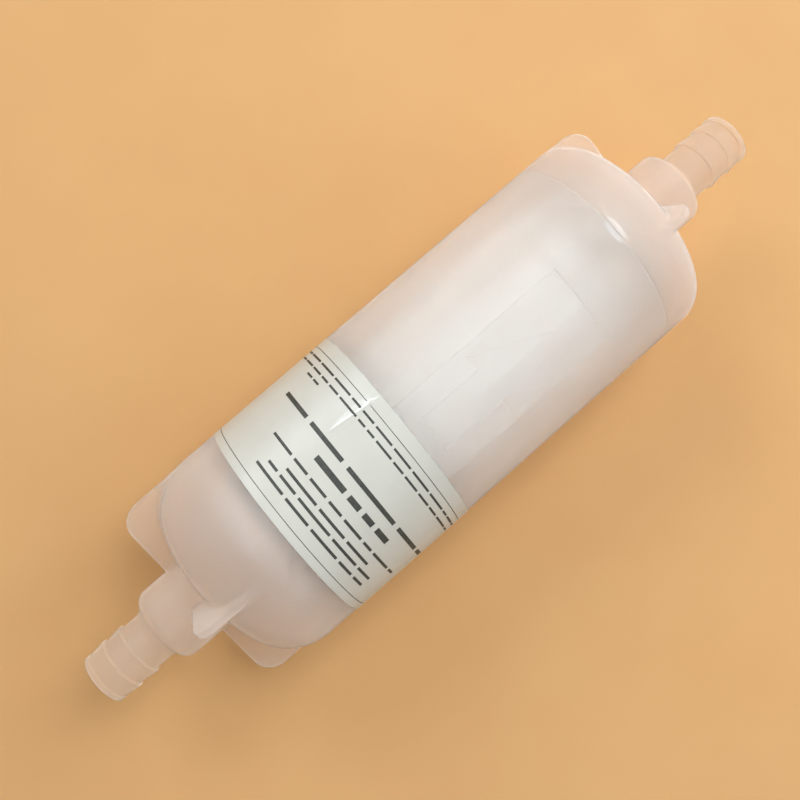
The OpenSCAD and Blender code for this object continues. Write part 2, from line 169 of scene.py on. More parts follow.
def dome_path(radius, knuckle, crown, stop_r, steps):
    """A dome from its straight wall in to the radius stop_r."""
    centre = crown - dome_height(radius, knuckle, crown)
    lean = math.atan2(centre, radius - knuckle)
    path = [
        (knuckle * math.sin(a), radius - knuckle + knuckle * math.cos(a))
        for a in np.linspace(0, lean, steps)
    ]
    top = math.acos(stop_r / crown)
    path += [
        (crown * math.sin(a) - centre, crown * math.cos(a))
        for a in np.linspace(lean, top, steps)[1:]
    ]
    return path


def shoulder_path(start, length):
    """The fall from the neck to the tube in two equal arcs."""
    drop = NECK_R - TUBE_R
    arc = (length**2 + drop**2) / (4 * drop)
    turn = math.asin(min(length / 2 / arc, 1))
    first = [
        (start + arc * math.sin(a), NECK_R - arc * (1 - math.cos(a)))
        for a in np.linspace(0, turn, 7)
    ]
    return first + [(2 * start + length - y, NECK_R + TUBE_R - r) for y, r in reversed(first[:-1])]


def outside_path(straight, knuckle, neck, shoulder, tube):
    """Outside of one end from the weld to the middle of its mouth's rim."""
    plain, pitch, tip_pitch, tip, tip_r = tube
    top = dome_height(BODY_R, knuckle, CROWN_R)
    root = top + neck + shoulder
    crest, crest_2 = root + plain, root + plain + pitch
    mouth = root + plain + pitch + tip_pitch + tip
    dome = dome_path(BODY_R, knuckle, CROWN_R, NECK_R, steps=22)
    edge = [(along - straight, radius, rounding) for along, radius, rounding in WELD_EDGE]
    wall = rounded(edge + [(SKIN_START - 0.25, BODY_R, 0)])
    foot = rounded([(*dome[-3], 0), (*dome[-1], NECK_FILLET), (top + 3, NECK_R, 0)], steps=8)
    barbs = rounded([
        (root, TUBE_R, 0),
        (crest, TUBE_R, BARB_EDGE), (crest, BARB_R, BARB_EDGE),
        (crest + BARB_LAND, BARB_R, BARB_EDGE),
        (crest_2, TUBE_R, BARB_EDGE), (crest_2, BARB_R, BARB_EDGE),
        (crest_2 + BARB_LAND, BARB_R, BARB_EDGE),
        (mouth - tip, TUBE_R + 0.06, BARB_EDGE), (mouth - tip, tip_r, BARB_EDGE),
        (mouth, tip_r, TIP_ROUND), (mouth, MOUTH_R, 0),
    ])
    return wall + dome[:-3] + foot + shoulder_path(top + neck, shoulder) + barbs[1:]


def inside_path(knuckle, neck, shoulder, tube, socket=()):
    """Inside of one end from its mouth's rim to its straight wall, past the socket if it has one."""
    top = dome_height(BODY_R, knuckle, CROWN_R)
    mouth = top + neck + shoulder + sum(tube[:4])
    stop_r = socket[-1][1] if socket else NECK_BORE_R
    dome = dome_path(INNER_R, knuckle - WALL, CROWN_R - WALL, stop_r, steps=16)
    bore = [
        (mouth, MOUTH_R, 0), (mouth, BORE_R, 0.4), (top + neck + shoulder, BORE_R, 0.8),
        (top + neck, NECK_BORE_R, 0.8),
    ]
    if socket:
        return rounded(bore + list(socket) + [(*dome[-1], 0.6), (*dome[-2], 0)]) + dome[-3::-1]
    return rounded(bore + [(*dome[-1], 1.2), (*dome[-3], 0)]) + dome[-4::-1]


# The finned skin of one end, as a net on its distance field


def gap_to_path(path):
    """Distance to a section's outside, negative within, for any along and radius."""
    line = np.array(path)
    a, step = line[:-1], line[1:] - line[:-1]
    square = (step**2).sum(1)

    def gap(along, radius):
        point = np.stack([along, radius], -1)[..., None, :]
        t = np.clip(((point - a) * step).sum(-1) / square, 0, 1)
        far = np.sqrt((((a + step * t[..., None]) - point) ** 2).sum(-1)).min(-1)
        return np.where(radius < np.interp(along, line[:, 0], line[:, 1]), -far, far)

    return gap


def gap_to_fins(along, across, beside, fin_end):
    """Distance to the nearest fin. across runs out along the fin, beside across its thickness."""
    swap = np.abs(across) < np.abs(beside)
    out, side = np.abs(np.where(swap, beside, across)), np.abs(np.where(swap, across, beside))
    taper = (FIN_TIP_HALF - FIN_ROOT_HALF) * (out - NECK_R) / (FIN_R - NECK_R)
    half = FIN_ROOT_HALF + taper
    face = side - np.minimum(half, FIN_ROOT_HALF)
    dx, dr = along - fin_end + FIN_CORNER, out - FIN_R + FIN_CORNER
    corner = np.hypot(np.maximum(dx, 0), np.maximum(dr, 0)) + np.minimum(np.maximum(dx, dr), 0)
    a, b = face + FIN_EDGE, corner - FIN_CORNER + FIN_EDGE
    edge = np.hypot(np.maximum(a, 0), np.maximum(b, 0)) + np.minimum(np.maximum(a, b), 0)
    return edge - FIN_EDGE


def filleted(a, b, fillet):
    """Two distance fields joined, with a fillet of that radius where they meet."""
    hollow = np.hypot(np.maximum(fillet - a, 0), np.maximum(fillet - b, 0))
    return np.maximum(fillet, np.minimum(a, b)) - hollow


def finned_skin(path, fin_end, low, high):
    """Net of a dome with its fins between two heights, in (along, across, beside).

    It gives the points, the quads, and the numbers of the points in the first and the last ring.
    """
    margin = 8
    near = [p for p in path if low - margin < p[0] < high + margin and p[1] > NECK_R - 0.01]
    body = gap_to_path(near)

    def field(p, gap=None):
        along, radius = p[..., 0], np.hypot(p[..., 1], p[..., 2])
        gap = body(along, radius) if gap is None else gap
        joined = filleted(gap, gap_to_fins(along, p[..., 1], p[..., 2], fin_end), FIN_FILLET)
        return np.maximum(joined, radius - BODY_R)

    # Cells that the surface crosses, each with one point
    heights = np.arange(low, high, NET_STEP)
    radii = np.arange(NECK_R - 2, BODY_R + 1.2, NET_STEP)
    turns = np.arange(COLUMNS) * 2 * math.pi / COLUMNS
    along, radius, turn = np.meshgrid(heights, radii, turns, indexing="ij")
    grid = np.stack([along, radius * np.cos(turn), radius * np.sin(turn)], -1)
    flat = body(*np.meshgrid(heights, radii, indexing="ij"))[:, :, None]
    within = field(grid, np.broadcast_to(flat, radius.shape)) < 0
    corners = [
        np.roll(within, -c, 2)[a : a + len(heights) - 1, b : b + len(radii) - 1]
        for a in (0, 1) for b in (0, 1) for c in (0, 1)
    ]
    crossed = np.any(corners, 0) & ~np.all(corners, 0)
    number = np.full(crossed.shape, -1)
    number[crossed] = np.arange(crossed.sum())
    i, j, k = np.nonzero(crossed)
    middle_turn = (k + 0.5) * 2 * math.pi / COLUMNS
    middle_r = radii[j] + NET_STEP / 2
    points = np.stack([
        heights[i] + NET_STEP / 2, middle_r * np.cos(middle_turn), middle_r * np.sin(middle_turn),
    ], -1)

    # The points move onto the surface, in a few steps along the field's slope
    tiny, rounds = 0.01, 5
    for _ in range(rounds):
        value = field(points)
        slope = np.stack([
            (field(points + np.eye(3)[n] * tiny) - value) / tiny for n in range(3)
        ], -1)
        points -= 0.9 * slope * (value / np.maximum((slope**2).sum(-1), 0.2))[:, None]

    # A quad round each edge of the grid that crosses the surface
    def cell(a, b, c):
        return number[a, b, c % COLUMNS]

    quads = []
    i, j, k = np.nonzero((within[:-1] != within[1:])[:, 1:-1])
    j += 1
    quads.append([cell(i, j - 1, k - 1), cell(i, j, k - 1), cell(i, j, k), cell(i, j - 1, k)])
    i, j, k = np.nonzero((within[:, :-1] != within[:, 1:])[1:-1])
    i += 1
    quads.append([cell(i - 1, j, k - 1), cell(i, j, k - 1), cell(i, j, k), cell(i - 1, j, k)])
    i, j, k = np.nonzero((within != np.roll(within, -1, 2))[1:-1, 1:-1])
    i, j = i + 1, j + 1
    quads.append([cell(i - 1, j - 1, k), cell(i, j - 1, k), cell(i, j, k), cell(i - 1, j, k)])
    quads = np.concatenate([np.stack(q, -1) for q in quads])
    return points, quads, number[0].max(0), number[-1].max(0)


def tidy_normals(mesh, angle=34):
    """Faces outwards, and smooth but for edges sharper than the angle."""
    form = bmesh.new()
    form.from_mesh(mesh)
    bmesh.ops.recalc_face_normals(form, faces=form.faces)
    form.to_mesh(mesh)
    form.free()
    mesh.shade_smooth()
    mesh.set_sharp_from_angle(angle=math.radians(angle))


def moulding(name, outside, fin_end, skin_end, inside, to_x):
    """A closed moulding: its outside, finned up to skin_end, and its inside back to the weld."""
    points, quads, first_ring, last_ring = finned_skin(outside, fin_end, SKIN_START, skin_end)
    before = [p for p in outside if p[0] < SKIN_START - 0.15]
    after = [p for p in outside if p[0] > skin_end + 0.3] + inside
    angles = (np.arange(COLUMNS) + 0.5) * 2 * math.pi / COLUMNS
    rings = np.array(before + after)
    around = np.stack([
        np.repeat(rings[:, :1], COLUMNS, 1),
        rings[:, 1:] * np.cos(angles),
        rings[:, 1:] * np.sin(angles),
    ], -1).reshape(-1, 3)
    numbers = len(points) + np.arange(len(rings) * COLUMNS).reshape(len(rings), COLUMNS)
    ladder = [*numbers[: len(before)], first_ring, None, last_ring, *numbers[len(before) :], numbers[0]]
    strips = [
        np.stack([a, np.roll(a, -1), np.roll(b, -1), b], -1)
        for a, b in zip(ladder, ladder[1:])
        if a is not None and b is not None
    ]
    local = np.concatenate([points, around])
    turned = np.stack([
        to_x(local[:, 0]),
        -(local[:, 1] * math.sin(MARK_TURN) + local[:, 2] * math.cos(MARK_TURN)),
        AXIS_Z + local[:, 1] * math.cos(MARK_TURN) - local[:, 2] * math.sin(MARK_TURN),
    ], -1) * MM
    mesh = bpy.data.meshes.new(name)
    mesh.from_pydata(turned.tolist(), [], np.concatenate([quads, *strips]).tolist())
    tidy_normals(mesh)
    return put_in_scene(name, mesh)


def raise_flash(piece):
    """Melt pressed out of the weld: a low bead of uneven height at the edge, and a smear at the top."""
    for corner in piece.data.vertices:
        x, y, z = corner.co / MM - Vector((WELD_X, 0, AXIS_Z))
        radius, turn = math.hypot(y, z), math.degrees(math.atan2(-y, z))
        if abs(x) < SMEAR_END and radius > BODY_R - 0.4:
            top = math.exp(-(((turn - SMEAR_TURN) / SMEAR_SPREAD) ** 2))
            lumps = 0.6 + 0.4 * math.sin(turn * 2.3 + x * 1.5)
            height = SMEAR_HEIGHT * top * math.exp(-((x / SMEAR_HALF) ** 2)) * lumps
            if abs(x) < BEAD_HALF:
                uneven = 0.5 + 0.3 * math.sin(turn * 0.41 + 1) + 0.2 * math.sin(turn * 1.37)
                height += BEAD_HEIGHT * uneven + BEAD_TOP_HEIGHT * top
            grown = (radius + height) / radius
            corner.co = Vector((x + WELD_X, y * grown, z * grown + AXIS_Z)) * MM


# Flow arrow and the shallow field round it: outlines as (along X, across), depths and walls' drafts

ARROW = [
    (32.18, 0), (11.08, 9.5), (11.08, 5.3), (-7.12, 5.3), (-7.12, -5.3), (11.08, -5.3), (11.08, -9.5),
]
FIELD = [(41.98, -11.4), (41.98, 11.4), (-16.92, 11.4), (-16.92, -11.4)]
ARROW_DEPTH, ARROW_DRAFT, FIELD_DEPTH, FIELD_DRAFT = 0.35, 0.3, 0.15, 0.15
# How much gentler the walls away from the top of the body and at the inlet's end are
LOWER_DRAFT, INLET_DRAFT = 3, 1.5
# How far the forms stand over the wall, and how many columns each side of the mark's line hold them
FORM_RISE, FORM_COLUMNS = 0.4, 26


def outward(outline):
    """The outward direction of each side of an anticlockwise outline. Side i ends at corner i."""
    side = outline - np.roll(outline, 1, 0)
    return np.stack([side[:, 1], -side[:, 0]], -1) / np.linalg.norm(side, axis=1)[:, None]


def offset(outline, distances):
    """An anticlockwise outline with each side moved outwards by its own distance."""
    normal = outward(outline)
    following, further = np.roll(normal, -1, 0), np.roll(distances, -1)
    cosine = (normal * following).sum(1)
    this_way = (distances - cosine * further)[:, None] * normal
    next_way = (further - cosine * distances)[:, None] * following
    return outline + (this_way + next_way) / (1 - cosine**2)[:, None]


def sunk_form(name, outline, depth, draft):
    """A shallow form with sloping walls, laid flat, cut at the housing's columns and bent onto them."""
    flat = np.array([(x, BODY_R * math.asin(across / BODY_R)) for x, across in outline])
    normal = outward(flat)
    lower, inlet = np.maximum(normal[:, 1], 0), np.maximum(-normal[:, 0], 0)
    draft = draft * (1 + LOWER_DRAFT * lower + INLET_DRAFT * inlet)
    mouth = offset(flat, draft / 2 + FORM_RISE * draft / depth)
    form = bmesh.new()
    floor = [form.verts.new((x, y, BODY_R - depth)) for x, y in offset(flat, -draft / 2)]
    lid = [form.verts.new((x, y, BODY_R + FORM_RISE)) for x, y in mouth]
    form.faces.new(floor[::-1])
    form.faces.new(lid)
    for i, corner in enumerate(floor):
        form.faces.new((floor[i - 1], corner, lid[i], lid[i - 1]))
    column = 2 * math.pi / COLUMNS
    for k in range(-FORM_COLUMNS, FORM_COLUMNS):
        bmesh.ops.bisect_plane(
            form, geom=form.verts[:] + form.edges[:] + form.faces[:], dist=1e-6,
            plane_co=(0, (k + 0.5) * column * BODY_R, 0), plane_no=(0, 1, 0),
        )
    for corner in form.verts:
        x, place, radius = corner.co.x, corner.co.y / BODY_R / column - 0.5, corner.co.z
        k = math.floor(place + 1e-4)
        a, b = (k + 0.5) * column + MARK_TURN, (k + 1.5) * column + MARK_TURN
        side = math.sin(a) + (place - k) * (math.sin(b) - math.sin(a))
        rise = math.cos(a) + (place - k) * (math.cos(b) - math.cos(a))
        corner.co = Vector((x, -radius * side, AXIS_Z + radius * rise)) * MM
    mesh = bpy.data.meshes.new(name)
    form.to_mesh(mesh)
    form.free()
    tidy_normals(mesh)
    return put_in_scene(name, mesh)


def cut(piece, form):
    """The form cut out of the piece. The form is removed."""
    modifier = piece.modifiers.new("cut", "BOOLEAN")
    modifier.operation, modifier.object, modifier.solver = "DIFFERENCE", form, "EXACT"
    graph = bpy.context.evaluated_depsgraph_get()
    mesh = bpy.data.meshes.new_from_object(piece.evaluated_get(graph))
    piece.modifiers.clear()
    piece.data = mesh
    bpy.data.objects.remove(form)


def make_bowl():
    """The long moulding, with the inlet and the flow arrow."""
    straight = WELD_X - WELD_GAP - BOWL_X
    top = dome_height(BODY_R, INLET["knuckle"], CROWN_R)
    bowl = moulding(
        "bowl_moulding", outside_path(straight, **INLET), top + INLET_FIN_END, top + INLET_SKIN_END,
        inside_path(**INLET)[1:] + [(-straight, INNER_R)], lambda along: BOWL_X - along,
    )
    raise_flash(bowl)
    cut(bowl, sunk_form("field", FIELD, FIELD_DEPTH, FIELD_DRAFT))
    cut(bowl, sunk_form("arrow", ARROW, ARROW_DEPTH, ARROW_DRAFT))
    tidy_normals(bowl.data, angle=25)
    return bowl


def make_cap():
    """The short moulding, with the outlet, the socket for the element and the weld lip."""
    straight = CAP_X - WELD_X - WELD_GAP
    top = dome_height(BODY_R, OUTLET["knuckle"], CROWN_R)
    web, rim = SOCKET_FLOOR + SOCKET_WEB, SOCKET_FLOOR - SOCKET_L
    socket = [
        (web, NECK_BORE_R, 0.2), (web, SOCKET_BORE_R, 0.2), (SOCKET_FLOOR, SOCKET_BORE_R, 0.2),
        (SOCKET_FLOOR, SOCKET_R, 0.2), (rim, SOCKET_R, 0.3), (rim, SOCKET_OUTER_R, 0.3),
    ]
    lip = rounded([
        (0, INNER_R, 0), (LIP_RAMP[0] - straight, INNER_R, 0.3),
        (LIP_RAMP[1] - straight, LIP_INNER_R, 0.3), (-straight - LIP_L, LIP_INNER_R, 0.3),
        (-straight - LIP_L, LIP_OUTER_R, 0.3), (-straight, LIP_OUTER_R, 0),
    ])
    cap = moulding(
        "cap_moulding", outside_path(straight, **OUTLET), top + OUTLET_FIN_END, top + OUTLET_SKIN_END,
        inside_path(**OUTLET, socket=socket)[1:] + lip[1:], lambda along: CAP_X + along,
    )
    raise_flash(cap)
    return cap


# Label

LABEL_X, LABEL_W, LABEL_TILT = -30.15, 39.0, math.radians(1.7)
LABEL_R, FILM_T = 30.03, 0.07

# The lap on the far side, in degrees from the top. The film starts at FLAP_START and ends at FLAP_END,
# a turn further on, where its flap rises over the start
FLAP_END, FLAP_START = 84, 100
FLAP_RISE, FLAP_LIFT = (-246, -260), FILM_T + 0.01

# Creases in the film: across and turn in degrees of both ends, height, width
CREASES = [
    (4.2, -18.3, 11.5, -16.6, 0.1, 0.3), (12.2, -16.4, 18.9, -14.8, 0.13, 0.35),
    (15.4, -17.4, 17.2, -14.2, 0.1, 0.3), (17.0, -16.9, 16.2, -14.4, 0.08, 0.25),
]

# The film's rows, and where its columns stand closer, for the creases
FILM_ROWS, CREASED, COLUMNS_A_DEGREE = 97, (-21, -11), 4


def on_label(across, turn, radius):
    """A point of the label: across from its middle line, turn from the top towards -Y."""
    y = -radius * math.sin(turn)
    x = LABEL_X + across / math.cos(LABEL_TILT) + y * math.tan(LABEL_TILT)
    return Vector((x, y, AXIS_Z + radius * math.cos(turn))) * MM


def film_lift(across, turn):
    """Height of the film over its seat, where it laps over its own start and where it is creased."""
    t = min(max((FLAP_RISE[0] - turn) / (FLAP_RISE[0] - FLAP_RISE[1]), 0), 1)
    lift = t * t * (3 - 2 * t) * FLAP_LIFT
    if not CREASED[0] - 1 < turn < CREASED[1] + 1:
        return lift
    arc = math.radians(1) * LABEL_R
    here = Vector((across, turn * arc))
    for from_across, from_turn, to_across, to_turn, height, width in CREASES:
        start, end = Vector((from_across, from_turn * arc)), Vector((to_across, to_turn * arc))
        along = min(max((here - start).dot(end - start) / (end - start).length_squared, 0), 1)
        taper = math.sin(math.pi * (0.08 + 0.84 * along))
        far = (here - start - (end - start) * along).length
        lift += height * taper * math.exp(-((far / width) ** 2))
    return lift


def make_label():
    """One turn of film. It starts under its own flap, runs over the top and laps over its start."""
    close = range(CREASED[0] * COLUMNS_A_DEGREE, CREASED[1] * COLUMNS_A_DEGREE)
    turns = {*range(FLAP_END - 360, FLAP_START + 1), *(t / COLUMNS_A_DEGREE for t in close)}
    turns = sorted(turns, reverse=True)
    rows, columns = FILM_ROWS, len(turns)
    corners, faces = [], []
    for side in (0, 1):
        for turn in turns:
            for r in range(rows):
                across = LABEL_W * (r / (rows - 1) - 0.5)
                radius = LABEL_R + film_lift(across, turn) + side * FILM_T
                corners.append(on_label(across, math.radians(turn), radius))
    half = rows * columns
    for c in range(columns - 1):
        for r in range(rows - 1):
            a = c * rows + r
            faces.append((a, a + 1, a + rows + 1, a + rows))
            faces.append((half + a, half + a + rows, half + a + rows + 1, half + a + 1))
    for c in range(columns - 1):
        a, b = c * rows, c * rows + rows - 1
        faces.append((a, a + rows, half + a + rows, half + a))
        faces.append((b, half + b, half + b + rows, b + rows))
    for r in range(rows - 1):
        a, b = r, (columns - 1) * rows + r
        faces.append((a, half + a, half + a + 1, a + 1))
        faces.append((b, b + 1, half + b + 1, half + b))
    mesh = bpy.data.meshes.new("label_film")
    mesh.from_pydata(corners, [], faces)
    tidy_normals(mesh, angle=60)
    return put_in_scene("label_film", mesh)


# Rows of plain bars: place along X, turns in degrees of both ends, height, mean length of a bar, gap
BAR_ROWS = [
    (-16.3, -236, 82, 0.6, 5.2, 0.9), (-18.5, -236, 82, 0.6, 5.0, 0.9), (-20.6, -55, -42, 0.6, 4.6, 0.9),
    (-27.8, -53, 82, 1.2, 15.0, 2.0), (-32.0, -13, 46, 1.6, 7.5, 1.6),
    (-36.3, -37, 68, 0.75, 7.2, 1.2), (-39.2, -18, 45, 0.75, 7.6, 1.2), (-41.4, -27, 55, 0.75, 7.8, 1.2),
    (-43.8, -31, 58, 0.75, 7.4, 1.2),
]
# Seed of the bars' lengths, and their shortest and longest as shares of the mean
BAR_SEED, BAR_SPREAD = 4, (0.45, 1.55)

# Rules that go round the label: places along X, width, and how far they stop from its ends in degrees
RULES, RULE_W = [-14.15, -47.35], 0.18
RULE_STOPS = (0.5, 4)

# The ink's thickness, and how high its middle stands over the film
INK_T, INK_MIDDLE = 0.02, 0.014

# Steps along a bar and along a rule, and the length in radians that tells them apart
BAR_STEPS, RULE_STEPS, LONGEST_BAR = 31, 345, 2.0


def lay_bars():
    """Across, turn, length in radians and height of each bar."""
    draw = random.Random(BAR_SEED)
    bars = []
    for place, first, last, height, mean, gap in BAR_ROWS:
        turn, end = math.radians(first), math.radians(last)
        while turn < end:
            length = min(mean * draw.uniform(*BAR_SPREAD) / LABEL_R, end - turn)
            if length * LABEL_R > height:
                bars.append((place - LABEL_X, turn + length / 2, length, height))
            turn += length + gap / LABEL_R
    return bars


def wrapping_tree(ink):
    """Geometry Nodes that stretch a bar at each point, wrap all of them round the film and ink them."""
    tree = bpy.data.node_groups.new("label_print", "GeometryNodeTree")
    face = tree.interface
    face.new_socket(name="Geometry", in_out="INPUT", socket_type="NodeSocketGeometry")
    for name in ("Film radius", "Ink thickness", "Flap lift"):
        face.new_socket(name=name, in_out="INPUT", socket_type="NodeSocketFloat")
    face.new_socket(name="Geometry", in_out="OUTPUT", socket_type="NodeSocketGeometry")
    given = add(tree, "NodeGroupInput").outputs
    out = add(tree, "NodeGroupOutput")

    # A bar at each point, or where the length asks for it a rule, with enough steps to go round
    length, height = (
        add(
            tree, "GeometryNodeInputNamedAttribute", {"Name": name}, data_type="FLOAT"
        ).outputs["Attribute"]
        for name in ("bar_length", "bar_height")
    )
    size = add(tree, "ShaderNodeCombineXYZ", {
        "X": height, "Y": length, "Z": given["Ink thickness"],
    }).outputs[0]
    join = add(tree, "GeometryNodeJoinGeometry")
    for operation, steps in (("LESS_THAN", BAR_STEPS), ("GREATER_THAN", RULE_STEPS)):
        bar = add(tree, "GeometryNodeMeshCube", {"Size": (1, 1, 1), "Vertices Y": steps}).outputs["Mesh"]
        chosen = add(tree, "ShaderNodeMath", {0: length, 1: LONGEST_BAR}, operation=operation).outputs[0]
        laid = add(tree, "GeometryNodeInstanceOnPoints", {
            "Points": given["Geometry"], "Selection": chosen, "Instance": bar, "Scale": size,
        })
        tree.links.new(laid.outputs["Instances"], join.inputs[0])
    bars = add(tree, "GeometryNodeRealizeInstances", {"Geometry": join.outputs[0]}).outputs[0]

    # From flat (across, turn, height) to a place on the film
    flat = add(tree, "ShaderNodeSeparateXYZ", {
        0: add(tree, "GeometryNodeInputPosition").outputs[0],
    }).outputs
    lift_start, lift_end = (math.radians(turn) for turn in FLAP_RISE)
    lift = add(tree, "ShaderNodeMapRange", {
        "Value": flat["Y"], "From Min": lift_start, "From Max": lift_end, "To Max": given["Flap lift"],
    }, interpolation_type="SMOOTHSTEP").outputs[0]
    seat = add(tree, "ShaderNodeMath", {0: given["Film radius"], 1: lift}, operation="ADD").outputs[0]
    radius = add(tree, "ShaderNodeMath", {0: seat, 1: flat["Z"]}, operation="ADD").outputs[0]
    top = add(tree, "ShaderNodeCombineXYZ", {"X": flat["X"], "Z": radius}).outputs[0]
    turned = add(tree, "ShaderNodeVectorRotate", {
        "Vector": top, "Angle": flat["Y"],
    }, rotation_type="X_AXIS").outputs[0]
    crooked = (1 / math.cos(LABEL_TILT), math.tan(LABEL_TILT), 0)
    x = add(tree, "ShaderNodeVectorMath", {
        0: turned, 1: crooked,
    }, operation="DOT_PRODUCT").outputs["Value"]
    parts = add(tree, "ShaderNodeSeparateXYZ", {0: turned}).outputs
    round_axis = add(tree, "ShaderNodeCombineXYZ", {"X": x, "Y": parts["Y"], "Z": parts["Z"]}).outputs[0]
    place = add(tree, "ShaderNodeVectorMath", {
        0: round_axis, 1: (LABEL_X, 0, AXIS_Z),
    }, operation="ADD").outputs[0]
    metres = add(tree, "ShaderNodeVectorMath", {0: place, "Scale": MM}, operation="SCALE").outputs[0]
    wrapped = add(tree, "GeometryNodeSetPosition", {"Geometry": bars, "Position": metres}).outputs[0]
    inked = add(tree, "GeometryNodeSetMaterial", {"Geometry": wrapped, "Material": ink}).outputs[0]
    tree.links.new(inked, out.inputs[0])
    return tree


def make_print(ink):
    """Plain bars and thin rules on the label, in the places of its rows of print."""
    bars = lay_bars()
    first = math.radians(FLAP_END - RULE_STOPS[0])
    last = math.radians(FLAP_END - 360 + RULE_STOPS[1])
    bars += [(place - LABEL_X, (first + last) / 2, first - last, RULE_W) for place in RULES]
    mesh = bpy.data.meshes.new("bar_places")
    mesh.from_pydata([(across, turn, 0) for across, turn, _, _ in bars], [], [])
    for name, column in (("bar_length", 2), ("bar_height", 3)):
        values = [bar[column] for bar in bars]
        mesh.attributes.new(name, "FLOAT", "POINT").data.foreach_set("value", values)
    piece = put_in_scene("label_print", mesh)
    modifier = piece.modifiers.new("print", "NODES")
    modifier.node_group = wrapping_tree(ink)
    sizes = {
        "Film radius": LABEL_R + FILM_T + INK_MIDDLE, "Ink thickness": INK_T, "Flap lift": FLAP_LIFT,
    }
    for socket in modifier.node_group.interface.items_tree:
        if socket.name in sizes:
            modifier[socket.identifier] = sizes[socket.name]
    graph = bpy.context.evaluated_depsgraph_get()
    printed = bpy.data.meshes.new_from_object(piece.evaluated_get(graph))
    piece.modifiers.clear()
    piece.data = printed
    tidy_normals(printed)
    return piece


# Materials, on Object coordinates in metres: a noise's scale is 1 over the size of its spots

# Places of a Mix node's sockets, when it mixes colours
FACTOR, COLOUR_A, COLOUR_B, MIXED = 0, 6, 7, 2

# A noise stays mostly between these, so a Map Range from them uses its whole target
NOISE_LOW, NOISE_HIGH = 0.3, 0.7

# Polypropylene: its index of refraction, and how much less it clears where it is seen edge-on
POLYPROPYLENE_IOR, EDGE_ON_LOSS = 1.49, 0.2

# Spot sizes in the housing: clouds from the melt's flow, and the ripple of a satin mould with its depth
CLOUD, RIPPLE, RIPPLE_DEPTH = 9, 2.2, 0.08

# The field's soft edge, and how much less it clears than the wall
FIELD_EDGE, FIELD_LOSS = 0.6, 0.05

# The hose tubes, from and past these distances along X, take this painted shade: a darker tint for the
# shade in their bores
TUBE_FROM, TUBE_PAST, TUBE_PAINTED_SHADE = 88, 94, "#FAF7F2"

# The glossy spots: their roughness, where they are and how far they reach. The smear of melt is at
# (along X, across, up), and the creases are at (across, turn) on the label
GLOSSY = 0.15
MELT_PLACE, MELT_REACH = (WELD_X, 0.5, AXIS_Z + BODY_R), (1.8, 6, 3)
CREASES_PLACE, CREASES_REACH = (11.5, math.radians(-16.5)), (9, 1.9, 3)

# How far roughness and clearness wander from their means
HAZE_SPREAD, CLEAR_SPREAD, MATT_SPREAD = 0.03, 0.015, 0.02


def new_material(name):
    """An empty material with its tree and its output node."""
    material = bpy.data.materials.new(name)
    material.use_nodes = True
    material.node_tree.nodes.clear()
    return material, material.node_tree, add(material.node_tree, "ShaderNodeOutputMaterial")


def round_place(tree, middle, reach):
    """1 round a place, falling to 0 at its reach in millimetres along X, Y and Z."""
    place = add(tree, "ShaderNodeTexCoord").outputs["Object"]
    off = add(tree, "ShaderNodeVectorMath", {0: place, 1: middle}, operation="SUBTRACT").outputs[0]
    shares = [1 / (r * MM) for r in reach]
    share = add(tree, "ShaderNodeVectorMath", {0: off, 1: shares}, operation="MULTIPLY").outputs[0]
    far = add(tree, "ShaderNodeVectorMath", {0: share}, operation="LENGTH").outputs["Value"]
    return add(tree, "ShaderNodeMapRange", {
        "Value": far, "From Min": 0.75, "From Max": 1.0, "To Min": 1.0, "To Max": 0.0,
    }).outputs[0]


def on_field(tree, place):
    """1 on the sunk field round the flow arrow, 0 elsewhere."""
    low, high, half = FIELD[2][0] * MM, FIELD[0][0] * MM, FIELD[1][1] * MM
    middle = ((low + high) / 2, 0, AXIS_Z * MM)
    off = add(tree, "ShaderNodeVectorMath", {0: place, 1: middle}, operation="SUBTRACT").outputs[0]
    across = (0, math.cos(MARK_TURN), math.sin(MARK_TURN))
    up = (0, -math.sin(MARK_TURN), math.cos(MARK_TURN))
    rise = add(tree, "ShaderNodeVectorMath", {0: off, 1: up}, operation="DOT_PRODUCT").outputs["Value"]
    lowest = (BODY_R - 1.5) * MM * math.cos(half / (BODY_R * MM))
    mask = add(tree, "ShaderNodeMath", {0: rise, 1: lowest}, operation="GREATER_THAN").outputs[0]
    for direction, reach in (((1, 0, 0), (high - low) / 2), (across, half)):
        way = add(tree, "ShaderNodeVectorMath", {0: off, 1: direction}, operation="DOT_PRODUCT")
        size = add(tree, "ShaderNodeMath", {0: way.outputs["Value"]}, operation="ABSOLUTE").outputs[0]
        within = add(tree, "ShaderNodeMapRange", {
            "Value": size, "From Min": reach - FIELD_EDGE * MM, "From Max": reach,
            "To Min": 1.0, "To Max": 0.0,
        }).outputs[0]
        mask = add(tree, "ShaderNodeMath", {0: mask, 1: within}, operation="MULTIPLY").outputs[0]
    return mask


